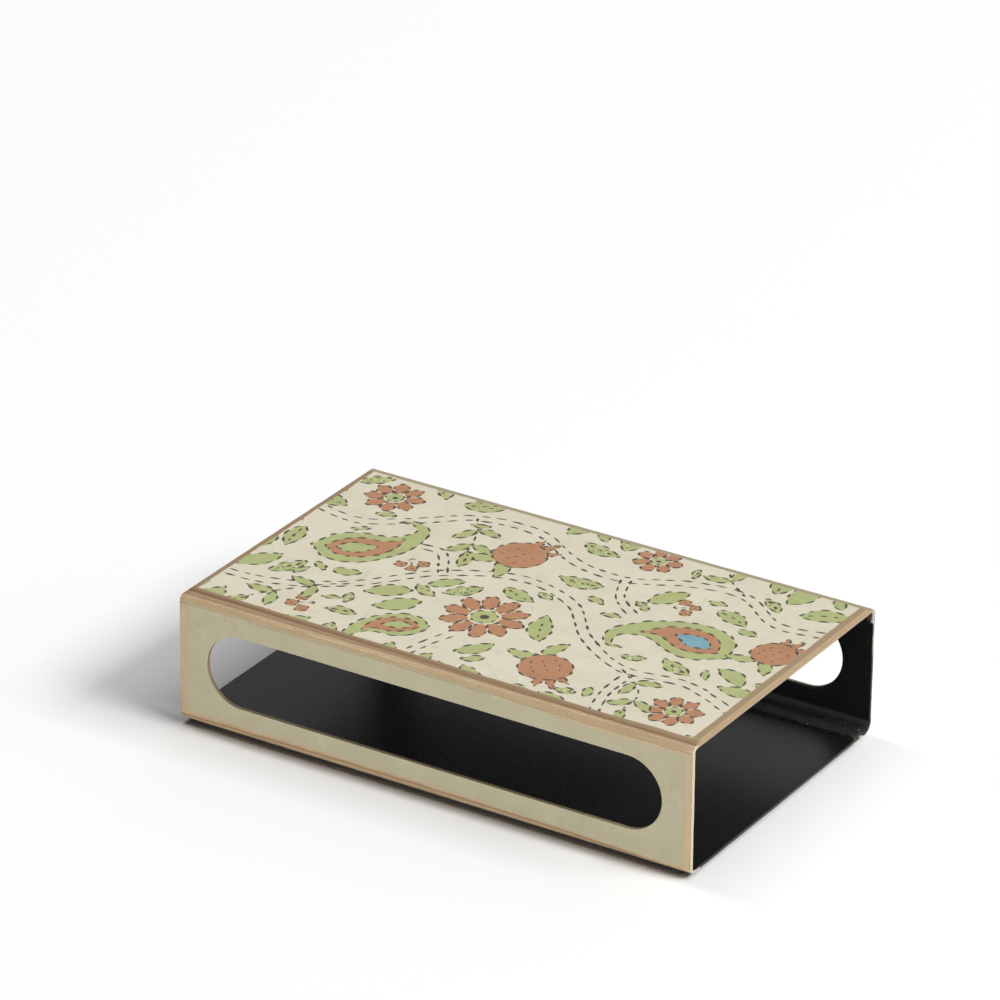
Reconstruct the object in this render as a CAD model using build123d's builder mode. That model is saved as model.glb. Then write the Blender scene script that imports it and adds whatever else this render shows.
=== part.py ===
"""Matchbox holder: an open sleeve that a household matchbox slides into.

One strip of sheet steel is bent into a flat tube. Its end comes down to the level of the
base, steps up over the base's rear edge and is soldered to it. A long window in each side
wall bares the striking strips of the matchbox. Paper is pasted on the flat outer faces: a
printed sheet on top, plain ones on the walls. The holder stands on a thick card under its
base, set in from the base's edges.

Millimetres. +X runs along the sleeve, +Y to its rear, +Z up; Z 0 is the underside.
"""
import os

from build123d import *

# the matchbox that the sleeve holds, and the play around it
matchbox_length = 110
matchbox_width = 63
matchbox_height = 22
side_play = 0.6
lid_play = 1.4

# the sheet steel, and the inner radii of its bends: the sharp ones at the front foot and at
# the roof, and the wide one at the rear foot
sheet = 0.7
front_foot_bend = 0.5
roof_bend = 0.6
rear_foot_bend = 1.5
solder_film = 0.1
bead_leg = 0.45
bead_inset = 1.2

# the step that lifts the strip's end over the base: the flat before it, the width that it
# climbs over, the inner radius of its two small bends, the play left beside the base's rear
# edge, and the width of the overlap
step_flat = 0.4
step_width = 1.6
step_bend = 0.5
step_play = 0.3
lap_width = 1.8

# what the windows leave of the side walls: at the ends, and of the front wall's flat below
# and above
window_end_margin = 6.2
window_sill = 4.6
window_lintel = 3.8

# the paper on the outside
paper = 0.2
paper_inset = 0.3

# the card under the base, and how much of the base it leaves bare
card = 1
card_end_margin = 2.5
card_side_margin = 1.5

# how far a cutting shape passes the faces that it cuts
overrun = 2

# sizes that follow from these
lap_rise = sheet + solder_film
inner_width = matchbox_width + 2 * side_play
inner_height = matchbox_height + lid_play + lap_rise
front_foot_outer = front_foot_bend + sheet
roof_outer = roof_bend + sheet
rear_foot_outer = rear_foot_bend + sheet
sleeve_front = -inner_width / 2 - sheet
sleeve_rear = inner_width / 2 + sheet
sleeve_floor = card
base_top = sleeve_floor + sheet
sleeve_roof = base_top + inner_height + sheet
step_foot = sleeve_rear - rear_foot_outer - step_flat
step_top = step_foot - step_width
base_rear_edge = step_top - step_play
lap_edge = base_rear_edge - lap_width
front_wall_foot = sleeve_floor + front_foot_outer
rear_wall_foot = sleeve_floor + rear_foot_outer
wall_top = sleeve_roof - roof_outer
window_length = matchbox_length - 2 * window_end_margin
window_bottom = front_wall_foot + window_sill
window_height = wall_top - window_lintel - window_bottom
window_middle = window_bottom + window_height / 2
paper_length = matchbox_length - 2 * paper_inset
sleeve_width = sleeve_rear - sleeve_front
front_foot_trace = front_foot_bend + sheet / 2
roof_trace = roof_bend + sheet / 2
rear_foot_trace = rear_foot_bend + sheet / 2
step_trace = step_bend + sheet / 2

os.makedirs("parts", exist_ok=True)


# The sleeve. Its strip starts under the lap at the rear, runs forward as the base, goes up
# as the front wall, back as the roof and down as the rear wall, turns in at the level of the
# base, steps up over the base's rear edge and ends as the lap.
with BuildPart() as sleeve:
    with BuildSketch(Plane.YZ.offset(-matchbox_length / 2)):
        with BuildLine():
            strip = FilletPolyline(
                (base_rear_edge, sleeve_floor + sheet / 2),
                (sleeve_front + sheet / 2, sleeve_floor + sheet / 2),
                (sleeve_front + sheet / 2, sleeve_roof - sheet / 2),
                (sleeve_rear - sheet / 2, sleeve_roof - sheet / 2),
                (sleeve_rear - sheet / 2, sleeve_floor + sheet / 2),
                (step_foot, sleeve_floor + sheet / 2),
                (step_top, sleeve_floor + lap_rise + sheet / 2),
                (lap_edge, sleeve_floor + lap_rise + sheet / 2),
                radius=(
                    front_foot_trace, roof_trace, roof_trace,
                    rear_foot_trace, step_trace, step_trace,
                ),
            )
        trace(strip, line_width=sheet)
    extrude(amount=matchbox_length)
    # one slot-shaped cut makes the windows of both side walls
    with BuildSketch(Plane.XZ.offset(-sleeve_rear - overrun)):
        with Locations((0, window_middle)):
            SlotOverall(window_length, window_height)
    extrude(amount=sleeve_width + 2 * overrun, mode=Mode.SUBTRACT)

sleeve.part.label = "sleeve"
export_step(sleeve.part, "parts/sleeve.step")


# The solder of the seam: a film that fills the joint between base and lap, and a bead
# along the edge of the lap, cut short of both ends of the sleeve.
with BuildPart() as seam_solder:
    with BuildSketch(Plane.XY.offset(base_top)):
        with Locations((0, (lap_edge + base_rear_edge) / 2)):
            Rectangle(matchbox_length, lap_width)
    extrude(amount=solder_film)
    with BuildSketch(Plane.YZ.offset(bead_inset - matchbox_length / 2)):
        with BuildLine():
            Polyline(
                (lap_edge, base_top),
                (lap_edge - bead_leg, base_top),
                (lap_edge, base_top + solder_film + bead_leg),
                close=True,
            )
        make_face()
    extrude(amount=matchbox_length - 2 * bead_inset)

seam_solder.part.label = "seam_solder"
export_step(seam_solder.part, "parts/seam_solder.step")


# The printed sheet on the roof. It ends where the bends begin.
with BuildPart() as top_print:
    with BuildSketch(Plane.XY.offset(sleeve_roof)):
        Rectangle(paper_length, sleeve_width - 2 * roof_outer)
    extrude(amount=paper)

top_print.part.label = "top_print"
export_step(top_print.part, "parts/top_print.step")


# The plain sheet on the front wall, with the window cut in it.
with BuildPart() as front_paper:
    with BuildSketch(Plane.XZ.offset(-sleeve_front)):
        with Locations((0, (front_wall_foot + wall_top) / 2)):
            Rectangle(paper_length, wall_top - front_wall_foot)
        with Locations((0, window_middle)):
            SlotOverall(window_length, window_height, mode=Mode.SUBTRACT)
    extrude(amount=paper)

front_paper.part.label = "front_paper"
export_step(front_paper.part, "parts/front_paper.step")


# The plain sheet on the rear wall. Its foot stands higher, because the bend below it is wide.
with BuildPart() as rear_paper:
    with BuildSketch(Plane.XZ.offset(-sleeve_rear)):
        with Locations((0, (rear_wall_foot + wall_top) / 2)):
            Rectangle(paper_length, wall_top - rear_wall_foot)
        with Locations((0, window_middle)):
            SlotOverall(window_length, window_height, mode=Mode.SUBTRACT)
    extrude(amount=-paper)

rear_paper.part.label = "rear_paper"
export_step(rear_paper.part, "parts/rear_paper.step")


# The card under the base, which the holder stands on.
with BuildPart() as base_card:
    with BuildSketch():
        Rectangle(matchbox_length - 2 * card_end_margin, sleeve_width - 2 * card_side_margin)
    extrude(amount=card)

base_card.part.label = "base_card"
export_step(base_card.part, "parts/base_card.step")
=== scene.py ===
# %% [markdown]
# # A matchbox holder
# A flat steel tube that a box of long matches slides into. It was bent from one strip,
# soldered along its base, painted black inside and tan outside, and papered on its flat
# faces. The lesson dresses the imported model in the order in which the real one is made. The
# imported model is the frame: its pieces say where everything goes, so it comes first.

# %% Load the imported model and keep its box
import math
import random

import bpy
from mathutils import Matrix, Vector, noise
from mathutils.geometry import delaunay_2d_cdt


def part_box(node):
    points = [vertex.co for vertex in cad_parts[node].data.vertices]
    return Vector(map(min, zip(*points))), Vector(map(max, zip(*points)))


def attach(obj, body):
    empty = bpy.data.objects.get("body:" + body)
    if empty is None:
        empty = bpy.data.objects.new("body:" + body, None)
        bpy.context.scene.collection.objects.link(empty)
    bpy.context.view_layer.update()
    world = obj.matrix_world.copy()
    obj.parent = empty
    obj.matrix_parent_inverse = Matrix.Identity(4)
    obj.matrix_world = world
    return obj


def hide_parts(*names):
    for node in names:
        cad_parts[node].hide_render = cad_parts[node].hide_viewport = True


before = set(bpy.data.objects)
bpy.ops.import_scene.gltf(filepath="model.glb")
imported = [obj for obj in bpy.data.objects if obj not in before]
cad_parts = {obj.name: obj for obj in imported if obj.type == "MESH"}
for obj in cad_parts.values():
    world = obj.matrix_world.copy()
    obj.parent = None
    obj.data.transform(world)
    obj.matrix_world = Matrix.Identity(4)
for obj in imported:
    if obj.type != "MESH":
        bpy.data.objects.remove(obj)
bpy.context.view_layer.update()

print("pieces of the packed model:", ", ".join(sorted(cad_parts)))

# %% [markdown]
# ## Sizes
# Sizes are in millimetres, as a maker thinks of a thing this small. Most are read off the
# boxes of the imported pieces: a bend's radius is how far the front paper ends from the
# steel's underside or its roof. That keeps the looks and the solids in step. Only what no
# box tells is written here: what the windows leave of the walls, the leg of the solder
# bead, and the small step by which the strip's end climbs over the base's rear edge.

# %% Read the sizes
MM = 0.001


def node_box(node):
    """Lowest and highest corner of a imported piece, in millimetres."""
    low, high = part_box(node)
    return low / MM, high / MM


steel_low, steel_high = node_box("sleeve")
print_low, print_high = node_box("top_print")
front_low, front_high = node_box("front_paper")
rear_low, rear_high = node_box("rear_paper")
card_low, card_high = node_box("base_card")
solder_low, solder_high = node_box("seam_solder")

window_end_margin = 6.2
window_sill = 4.6
window_lintel = 3.8
bead_leg = 0.45
step_flat = 0.4
step_width = 1.6
step_bend = 0.5

half_length = steel_high.x
sheet = solder_low.z - steel_low.z
front_foot_outer = front_low.z - steel_low.z
rear_foot_outer = rear_low.z - steel_low.z
roof_outer = steel_high.z - front_high.z
lap_rise = sheet + solder_high.z - solder_low.z - bead_leg
step_foot = steel_high.y - rear_foot_outer - step_flat
step_top = step_foot - step_width
base_rear_edge = solder_high.y
lap_edge = solder_low.y + bead_leg
base_top = solder_low.z
window_half = half_length - window_end_margin
window_bottom = front_low.z + window_sill
window_top = front_high.z - window_lintel
window_middle = (window_bottom + window_top) / 2
window_round = (window_top - window_bottom) / 2

print(f"steel {sheet:.2f} mm, bends {front_foot_outer:.2f} mm outside at the front foot, "
      f"{roof_outer:.2f} at the roof, {rear_foot_outer:.2f} at the rear foot")
print(f"lap raised {lap_rise:.2f} mm")
print(f"windows {2 * window_half:.1f} by {2 * window_round:.1f} mm")

# %% [markdown]
# ## A bench for finishes
# A procedural material is a chain of small steps: noise makes patches, a range turns them
# into a mask, and the mask mixes two colours. Wired by hand, the idea gets lost. So a
# `Finish` has short names for the noises, and each makes a `Value` that knows arithmetic:
# `*` is where both of two masks are set, `|` where either is, and `lay` lays a colour over
# another. Places are in millimetres, and colours are written as they look on screen.
# Numbers that are the same all over a surface go on the shader's own sockets, which keeps
# them in an exported model.

# %% The bench
def paint(red, green, blue):
    """A colour as seen on screen, 0 to 255, as the linear colour a shader uses."""
    shades = [c / 255 for c in (red, green, blue)]
    return [c / 12.92 if c < 0.04 else ((c + 0.055) / 1.055) ** 2.4 for c in shades] + [1]


def add_node(tree, kind, inputs=None, **settings):
    """A node with its settings, its inputs either wired or given as values."""
    node = tree.nodes.new("ShaderNode" + kind)
    for key, value in settings.items():
        setattr(node, key, value)
    for key, value in (inputs or {}).items():
        if isinstance(value, bpy.types.NodeSocket):
            tree.links.new(value, node.inputs[key])
        else:
            node.inputs[key].default_value = value
    return node


class Value:
    """A number, mask, place or colour that changes over the surface."""

    def __init__(self, finish, socket):
        self.finish, self.socket = finish, socket

    def sum(self, operation, *others):
        """One sum on numbers: ADD, MULTIPLY, MAXIMUM and so on."""
        return self.finish.step(
            "Math", dict(enumerate((self, *others))), operation=operation)

    def __add__(self, other):
        return self.sum("ADD", other)

    def __sub__(self, other):
        return self.sum("SUBTRACT", other)

    def __rsub__(self, other):
        return self * -1 + other

    def __mul__(self, other):
        return self.sum("MULTIPLY", other)

    def __truediv__(self, other):
        return self.sum("DIVIDE", other)

    def __or__(self, other):
        return self.sum("MAXIMUM", other)

    def __abs__(self):
        return self.sum("ABSOLUTE")

    def parts(self):
        """The three numbers of a place."""
        return self.finish.step("SeparateXYZ", {0: self}, outs=range(3))

    def ramp(self, low, high):
        """0 where the value is below `low`, 1 above `high`, and a slope between."""
        return self.finish.step(
            "MapRange", {"Value": self, "From Min": low, "From Max": high})

    def band(self, middle, reach, soft):
        """1 within `reach` of the middle value, fading over `soft`."""
        return abs(self - middle).ramp(reach + soft / 2, reach - soft / 2)

    def lay(self, colour, mask, strength=1):
        """This colour with another laid over it where the mask is set."""
        if strength != 1:
            mask = mask * strength
        return self.finish.step(
            "Mix", {0: mask, 6: self, 7: colour}, outs=[2], data_type="RGBA")


class Finish:
    """A material under construction, and the steps that it is made of."""

    def __init__(self, name, specular):
        self.material = bpy.data.materials.new(name)
        self.material.use_nodes = True
        self.tree = self.material.node_tree
        self.shader = self.tree.nodes["Principled BSDF"]
        self.shader.inputs["Specular IOR Level"].default_value = specular
        spot = self.step("TexCoord", outs=["Object"])
        self.place = self.step(
            "VectorMath", {0: spot, "Scale": 1 / MM}, operation="SCALE")
        self.x, self.y, self.z = self.place.parts()

    def step(self, kind, inputs=None, outs=(0,), **settings):
        """A node of the finish. Returns the value that comes out of it, or all of `outs`."""
        inputs = {key: getattr(value, "socket", value) for key, value in (inputs or {}).items()}
        node = add_node(self.tree, kind, inputs, **settings)
        values = [Value(self, node.outputs[out]) for out in outs]
        return values if len(values) > 1 else values[0]

    def coat(self, colour):
        """A first coat of one colour, for others to be laid over."""
        return Value(self, colour)

    def patches(self, size, seed, detail=2.0, rough=0.5, bend=0.0, at=None):
        """Soft patches from 0 to 1, about `size` mm across."""
        return self.step(
            "TexNoise",
            {"Vector": at or self.place, "W": seed, "Scale": 1 / size, "Detail": detail,
             "Roughness": rough, "Distortion": bend},
            noise_dimensions="4D")

    def waver(self, size, seed, detail=4, rough=0.6):
        """A number that wavers about zero, for lines drawn by hand."""
        return self.patches(size, seed, detail, rough) - 0.5

    def specks(self, spacing, size, share, seed):
        """Small dots: `share` of the cells of a random mesh hold one of `size` mm."""
        away, tint = self.step(
            "TexVoronoi", {"Vector": self.place, "W": seed, "Scale": 1 / spacing},
            outs=("Distance", "Color"), voronoi_dimensions="4D")
        chosen = tint.parts()[0].sum("LESS_THAN", share)
        return away.ramp(size / spacing, size / spacing * 0.6) * chosen

    def done(self, colour, roughness, height, depth):
        """Wires colour, roughness and a relief of `depth` mm to the shader."""
        relief = self.step(
            "Bump", {"Height": height, "Distance": depth * MM, "Strength": 1.0})
        for key, value in {"Base Color": colour, "Roughness": roughness, "Normal": relief}.items():
            self.tree.links.new(value.socket, self.shader.inputs[key])
        print(f"finish {self.material.name}: {len(self.tree.nodes)} nodes")
        return self.material


# %% [markdown]
# ## A sheet with real cut edges
# Steel and paper alike are flat drawings that are thickened, then bent or laid in place.
# The Solidify modifier would leave knife-sharp cut edges, which catch no light, so
# `thicken` rounds each one with narrow strips. On every point it stores where that lay in
# the flat drawing, as `blank`, so that the paint can follow the sheet round its bends.

# %% Thicken a flat drawing into a sheet
def cut_edges(points, faces):
    """The border of a drawing: which point follows which, and which way is out."""
    edges = {(face[i - 1], face[i]) for face in faces for i in range(len(face))}
    after = {a: b for a, b in edges if (b, a) not in edges}
    out = {}
    for a, b in after.items():
        along = Vector(points[b]) - Vector(points[a])
        side = Vector((along.y, -along.x)).normalized()
        out.setdefault(a, []).append(side)
        out.setdefault(b, []).append(side)
    for point, sides in out.items():
        middle = sum(sides, Vector((0, 0))).normalized()
        out[point] = middle / max(middle.dot(sides[0]), 0.5)
    return after, out


def thicken(name, drawing, place, thickness, rounding, inks=None):
    """A sheet made from a flat drawing; `place(u, v, rise)` says where its points land. Inks
    are given face by face, and an inked sheet has one plain face for its back."""
    points, faces = drawing
    after, out = cut_edges(points, faces)
    half, corner = thickness / 2, rounding * (1 - math.sqrt(0.5))
    profile = [
        (rounding, half), (corner, half - corner), (0, half - rounding),
        (0, rounding - half), (corner, corner - half), (rounding, -half),
    ]
    last = len(profile) - 1
    blank, number = [], {}
    for i in sorted({i for face in faces for i in face}):
        u, v = points[i]
        for row, (inset, rise) in enumerate(profile):
            if i in after or row == 0 or row == last and not inks:
                shift = out[i] * inset if i in after else Vector((0, 0))
                number[i, row] = len(blank)
                blank.append((u - shift.x, v - shift.y, rise))
    skin = [[number[i, 0] for i in face] for face in faces]
    if inks:
        loop = [min(after)]
        while after[loop[-1]] != loop[0]:
            loop.append(after[loop[-1]])
        back = [[number[i, last] for i in reversed(loop)]]
    else:
        back = [[number[i, last] for i in reversed(face)] for face in faces]
    rim = [
        [number[b, row], number[a, row], number[a, row + 1], number[b, row + 1]]
        for a, b in sorted(after.items()) for row in range(last)
    ]
    mesh = bpy.data.meshes.new(name)
    spots = [Vector(place(*spot)) * MM for spot in blank]
    mesh.from_pydata(spots, [], skin + rim + back)
    stored = mesh.attributes.new("blank", "FLOAT_VECTOR", "POINT")
    stored.data.foreach_set("vector", [n for spot in blank for n in spot])
    if inks:
        mesh.polygons.foreach_set("material_index", inks + [0] * (len(rim) + len(back)))
    return finish_mesh(mesh)


def add_object(name, data):
    """A new object in the scene."""
    new = bpy.data.objects.new(name, data)
    bpy.context.scene.collection.objects.link(new)
    return new


def finish_mesh(mesh):
    """Smooth shading that leaves the large flat faces flat, baked into the mesh."""
    mesh.validate()
    mesh.polygons.foreach_set("use_smooth", [True] * len(mesh.polygons))
    piece = add_object(mesh.name, mesh)
    piece.modifiers.new("flat faces stay flat", "WEIGHTED_NORMAL").weight = 100
    shown = piece.evaluated_get(bpy.context.evaluated_depsgraph_get())
    piece.data = bpy.data.meshes.new_from_object(shown)
    piece.data.name = mesh.name
    piece.modifiers.clear()
    print(f"{piece.name}: {len(piece.data.polygons)} faces")
    return piece


def dress(piece, node, slot, *finishes):
    """The piece stands for a packed one and wears these finishes."""
    for finish in finishes:
        piece.data.materials.append(finish)
    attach(piece, "root")
    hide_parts(node)


def steps(start, end, count):
    """Evenly spaced values after the start, up to and with the end."""
    return [start + (end - start) * i / count for i in range(1, count + 1)]


def wander(value, grain, seed):
    """A smooth random number from about -1 to 1, the same on each run."""
    return noise.noise(Vector((value / grain, seed * 7.3, 0.5))) * 1.6


# %% [markdown]
# ## The flat blank of steel
# The smith cuts one strip, punches two windows in it, folds it at four lines and sets a
# small step near its end, so that the end lies over the base. We do the same. The strip is
# a list of runs, flat or bent, and the blank is a grid of rows across it. In the two walls
# the grid opens up into the window, so even the round ends are clean four-sided faces. A
# Boolean would be quicker to write, but it leaves long slivers that shade badly.

# %% The strip's runs: how long each is, and its radius if it is bent
front_foot_radius = front_foot_outer - sheet / 2
roof_radius = roof_outer - sheet / 2
rear_foot_radius = rear_foot_outer - sheet / 2
step_radius = step_bend + sheet / 2
step_slope = math.atan(lap_rise / step_width)
step_reach = step_radius * math.tan(step_slope / 2)
foot_bend = front_foot_radius * math.pi / 2
roof_bend = roof_radius * math.pi / 2
strip_runs = [
    (base_rear_edge - steel_low.y - front_foot_outer, 0), (foot_bend, front_foot_radius),
    (front_high.z - front_low.z, 0), (roof_bend, roof_radius),
    (print_high.y - print_low.y, 0), (roof_bend, roof_radius),
    (rear_high.z - rear_low.z, 0), (rear_foot_radius * math.pi / 2, rear_foot_radius),
    (step_flat - step_reach, 0), (step_radius * step_slope, step_radius),
    (math.hypot(step_width, lap_rise) - 2 * step_reach, 0),
    (step_radius * step_slope, -step_radius), (step_top - step_reach - lap_edge, 0),
]
FRONT_WALL, ROOF, REAR_WALL = 2, 4, 6
fold_lines = [0]
for run, _ in strip_runs:
    fold_lines.append(fold_lines[-1] + run)
strip_end = fold_lines[-1]
base_end, wall_foot, wall_head, roof_front, roof_rear, rear_head, rear_foot = fold_lines[1:8]

# %% Draw the blank
straight = window_half - window_round
hair = 0.001
columns_in_round, columns_in_straight, rows_beside_window = 18, 28, 5
bend_row_height, flat_row_height = 0.2, 3


def half_opening(u):
    """Half the window's height at `u` along the sleeve; 0 beyond its ends."""
    into_round = max(abs(u) - straight, 0)
    if into_round > window_round - hair:
        return 0
    return math.sqrt(window_round**2 - into_round**2)


def wall_columns(end, margin_count):
    """Columns along a wall, closer together in the window's round ends."""
    turns = steps(math.pi, math.pi / 2, columns_in_round)
    left = [-end] + steps(-end, -window_half, margin_count)
    left += [math.cos(turn) * window_round - straight for turn in turns]
    middle = steps(-straight, straight, columns_in_straight)[:-1]
    return left + middle + [-u for u in reversed(left)]


def wall_rows(low, high, middle):
    """Rows across a wall: those below its window, and those above it."""
    parts = [0] + steps(0, 1, rows_beside_window)
    below = [lambda u, p=p: low + (middle - half_opening(u) - low) * p for p in parts[1:]]
    above = [lambda u, p=p: high + (middle + half_opening(u) - high) * (1 - p) for p in parts]
    return below, above


def level_rows(levels):
    """Rows that run straight across at these levels."""
    return [lambda u, v=v: v for v in levels]


def draw_grid(columns, rows, cut, gaps=()):
    """Points and faces of a grid; `cut` trims its edges. A window opens after a row in
    `gaps`, and where it is shut that row and the next are one."""
    points, at = [], {}
    for r, row in enumerate(rows):
        for c, u in enumerate(columns):
            if r - 1 in gaps and half_opening(u) == 0:
                at[r, c] = at[r - 1, c]
            else:
                at[r, c] = len(points)
                points.append(cut(u, row(u), c, r))
    faces = [
        [at[r, c], at[r, c + 1], at[r + 1, c + 1], at[r + 1, c]]
        for r in range(len(rows) - 1) if r not in gaps for c in range(len(columns) - 1)
    ]
    return points, faces


blank_columns = wall_columns(half_length, 4)
blank_rows, gaps = level_rows([0]), []
for index, (run, radius) in enumerate(strip_runs):
    start, end = fold_lines[index], fold_lines[index + 1]
    if index in (FRONT_WALL, REAR_WALL):
        to_front = start + window_middle - front_low.z
        to_rear = end - window_middle + rear_low.z
        below, above = wall_rows(start, end, to_front if index == FRONT_WALL else to_rear)
        gaps.append(len(blank_rows) + len(below) - 1)
        blank_rows += below + above
    else:
        height, fewest = (bend_row_height, 4) if radius else (flat_row_height, 3)
        blank_rows += level_rows(steps(start, end, max(fewest, round(run / height))))


def shear(u, s, c, r):
    """A cut line of the blank wavers, and the lap's edge most of all near its ends."""
    end_slip, start_slip, lap_slip, rough_end = 0.05, 0.12, 0.3, 5
    if c in (0, len(blank_columns) - 1):
        u -= math.copysign(end_slip * abs(wander(s, 4, 1 + c)), u)
    if r == 0:
        s += start_slip * abs(wander(u, 3, 3))
    if r == len(blank_rows) - 1:
        near_end = abs(u) > half_length - rough_end
        s -= lap_slip * abs(wander(u, 2.5, 4)) * (1.6 if near_end else 0.6)
    return u, s


blank_drawing = draw_grid(blank_columns, blank_rows, shear, gaps)
print(f"blank: {2 * half_length:.0f} by {strip_end:.1f} mm, {len(blank_drawing[1])} faces")


# %% [markdown]
# ## Folding the blank
# A folded strip is a path: straight, an arc, straight again. `fold` walks it and tells where
# a point of the blank lands. It starts under the lap at the rear and heads forward as the
# base. Where the radius is negative it turns the other way, as only the step's last bend
# does. The Simple Deform modifier would need one modifier a fold, and sizes would drift.

# %% Fold it into the sleeve
def fold(u, s, rise):
    """Where a point of the blank lands, `rise` outwards from the sheet's middle."""
    y, z, heading = base_rear_edge, steel_low.z + sheet / 2, math.pi
    for run, radius in strip_runs:
        part = min(max(s, 0), run)
        if radius:
            out = heading + math.pi / 2
            y, z = y - math.cos(out) * radius, z - math.sin(out) * radius
            heading -= part / radius
            out = heading + math.pi / 2
            y, z = y + math.cos(out) * radius, z + math.sin(out) * radius
        else:
            y, z = y + math.cos(heading) * part, z + math.sin(heading) * part
        s -= part
        if s <= 0:
            break
    out = heading + math.pi / 2
    return u, y + math.cos(out) * rise, z + math.sin(out) * rise


sleeve = thicken("steel_sleeve", blank_drawing, fold, sheet, rounding=0.14)

# %% [markdown]
# ## Paint on the steel
# Black lines the inside and tan covers the outside, and on the cut edges they meet
# raggedly, where the brush stopped. A material for each side would end in a ruled line, so
# one finish paints both, by `blank`: its second number tells which fold a point is near,
# and its third how far out in the sheet's thickness it lies. Brown glaze has gathered along
# the folds, and a red-brown line runs along the front foot. These lines run on over the
# papers, so they are functions to use again. Some of the paint is painted light: a pale
# highlight and painted shade on the roof's front bend, and black under the base that
# deepens the shade beneath the holder.

# %% Paints, and the lines that run over steel and paper alike
tan = paint(184, 160, 124)
tan_light = paint(194, 172, 139)
tan_deep = paint(160, 136, 104)
glaze_brown = paint(118, 85, 57)
red_brown_tone = paint(148, 116, 86)
sage = paint(178, 170, 141)
# pale cream of cut edges and paper scraps, also used for painted highlights
pale_edge_and_highlight = paint(208, 200, 172)
# bare steel of the chip at the rear corner, also used for the painted glints on the lap
bare_steel_and_glint = paint(196, 196, 200)
black = paint(15, 14, 16)
dust_grey = paint(88, 86, 86)


def tan_paint(finish, along, across, seed):
    """Tan brushed along the sleeve: streaks, darker patches and a few dark flecks."""
    stretch = 14
    brushed = finish.step("CombineXYZ", {0: along / stretch, 1: across})
    streaks = finish.patches(0.5, seed, detail=4, rough=0.6, at=brushed)
    clouds = finish.patches(9, seed + 1, detail=3)
    grain = finish.patches(0.22, seed + 3, detail=1)
    flecks = finish.specks(2.6, 0.12, 0.35, seed + 2)
    colour = finish.coat(tan).lay(tan_light, streaks.ramp(0.45, 0.7))
    colour = colour.lay(tan_deep, clouds.ramp(0.52, 0.75), 0.55)
    colour = colour.lay(tan_deep, grain.ramp(0.58, 0.7), 0.4)
    return colour.lay(glaze_brown, flecks, 0.8), streaks


def paper_top_line(x):
    """How far above its fold the sage ends at the top of the front wall."""
    return x.ramp(10, 34) * -0.96 + 0.34


def paper_foot_line(x):
    """The height at which the sage ends at the foot of the front wall."""
    return x.ramp(-2, 46) * -0.87 + (front_low.z + 1.0)


def red_brown_foot_line(ground, x, height):
    """A red-brown line along the front foot: highest at mid-length, low at the ends, with darker
    tan below it.
    """
    peak, reach, left_share, drop = 2, 44, 0.6, 0.65
    far = ((x - peak) | (peak - x) * left_share) / reach
    middle = ground.finish.waver(8, 17) * 0.7 + (front_low.z + 0.35) - far * far * drop
    above = height - middle
    line = above.ramp(0.42, 0.08) * above.ramp(-0.42, -0.12)
    fade = x.ramp(half_length - 7, half_length - 18)
    ground = ground.lay(tan_deep, above.ramp(0.25, -0.1), 0.3)
    return ground.lay(red_brown_tone, line * fade, 0.95)


def fold_glaze(ground, x, onto_roof):
    """Brown gathered along the front of the roof, `onto_roof` being the way from the fold."""
    lean, start = 0.0135, 0.63
    past = x * lean + onto_roof - start + ground.finish.waver(9, 16) * 0.5
    line = past.ramp(-0.62, -0.1) * past.ramp(1.5, 0.15)
    return ground.lay(glaze_brown, line * (0.95 - x.ramp(-55, 38) * 0.5))


# %% Paint the steel
def tan_side(finish, u, s):
    """The outside: sage carried onto the roof's front bend, glaze along the folds, a red-brown line
    at the foot, and painted highlight and painted shade on that bend.
    """
    colour, streaks = tan_paint(finish, u, s, seed=2)
    waver = finish.waver(5, 5)
    onto_wall = (s - wall_head) * (roof_outer / roof_radius) + waver * 0.3
    is_sage = (onto_wall / (paper_top_line(u) | 0.02)).band(0, 1, 0.1)
    inward = abs(u).ramp(half_length - 1.5, half_length - 1.75)
    # painted shade: darker tan over the middle of the roof's front bend
    painted_shade_on_bend = s.band(wall_head + 0.5 * roof_bend, 0.45 * roof_bend, 0.3)
    # painted highlight: a pale line along the middle of the roof's front bend
    glint = s.band(wall_head + 0.52 * roof_bend, 0.05, 0.12) * u.band(-12, 22, 6)
    colour = colour.lay(sage, is_sage * inward).lay(tan_deep, painted_shade_on_bend, 0.35)
    colour = colour.lay(pale_edge_and_highlight, glint * waver.ramp(-0.08, 0.05), 0.9)
    colour = fold_glaze(colour, u, s - roof_front)
    colour = red_brown_foot_line(colour, u, (s - wall_foot) * 1.2 + front_low.z)
    heel_stripe = (s + waver).band(rear_foot + 1.3, 0.3, 0.5)
    rear_stripe = (s + waver).band(roof_rear + 0.4, 0.3, 0.6)
    gathered = finish.patches(11, 6, detail=3).ramp(0.25, 0.6)
    colour = colour.lay(red_brown_tone, heel_stripe * gathered, 0.9)
    return colour.lay(tan_deep, rear_stripe, 0.7), streaks


def black_side(finish, on_lap, crust, u):
    """The inside: dusty black, with a brown crust and pale painted glints on the lap."""
    smear = finish.patches(18, 10, detail=3).ramp(0.45, 0.7)
    # painted glints: pale specks on the lap
    painted_glint_specks = on_lap * finish.specks(0.8, 0.16, 0.2, 36) * u.ramp(-20, 50)
    colour = finish.coat(black).lay(paint(24, 23, 24), smear)
    colour = colour.lay(dust_grey, finish.specks(1.5, 0.1, 0.25, 9), 0.5)
    return colour.lay(paint(60, 53, 47), crust, 0.75).lay(bare_steel_and_glint, painted_glint_specks, 0.9)


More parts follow.
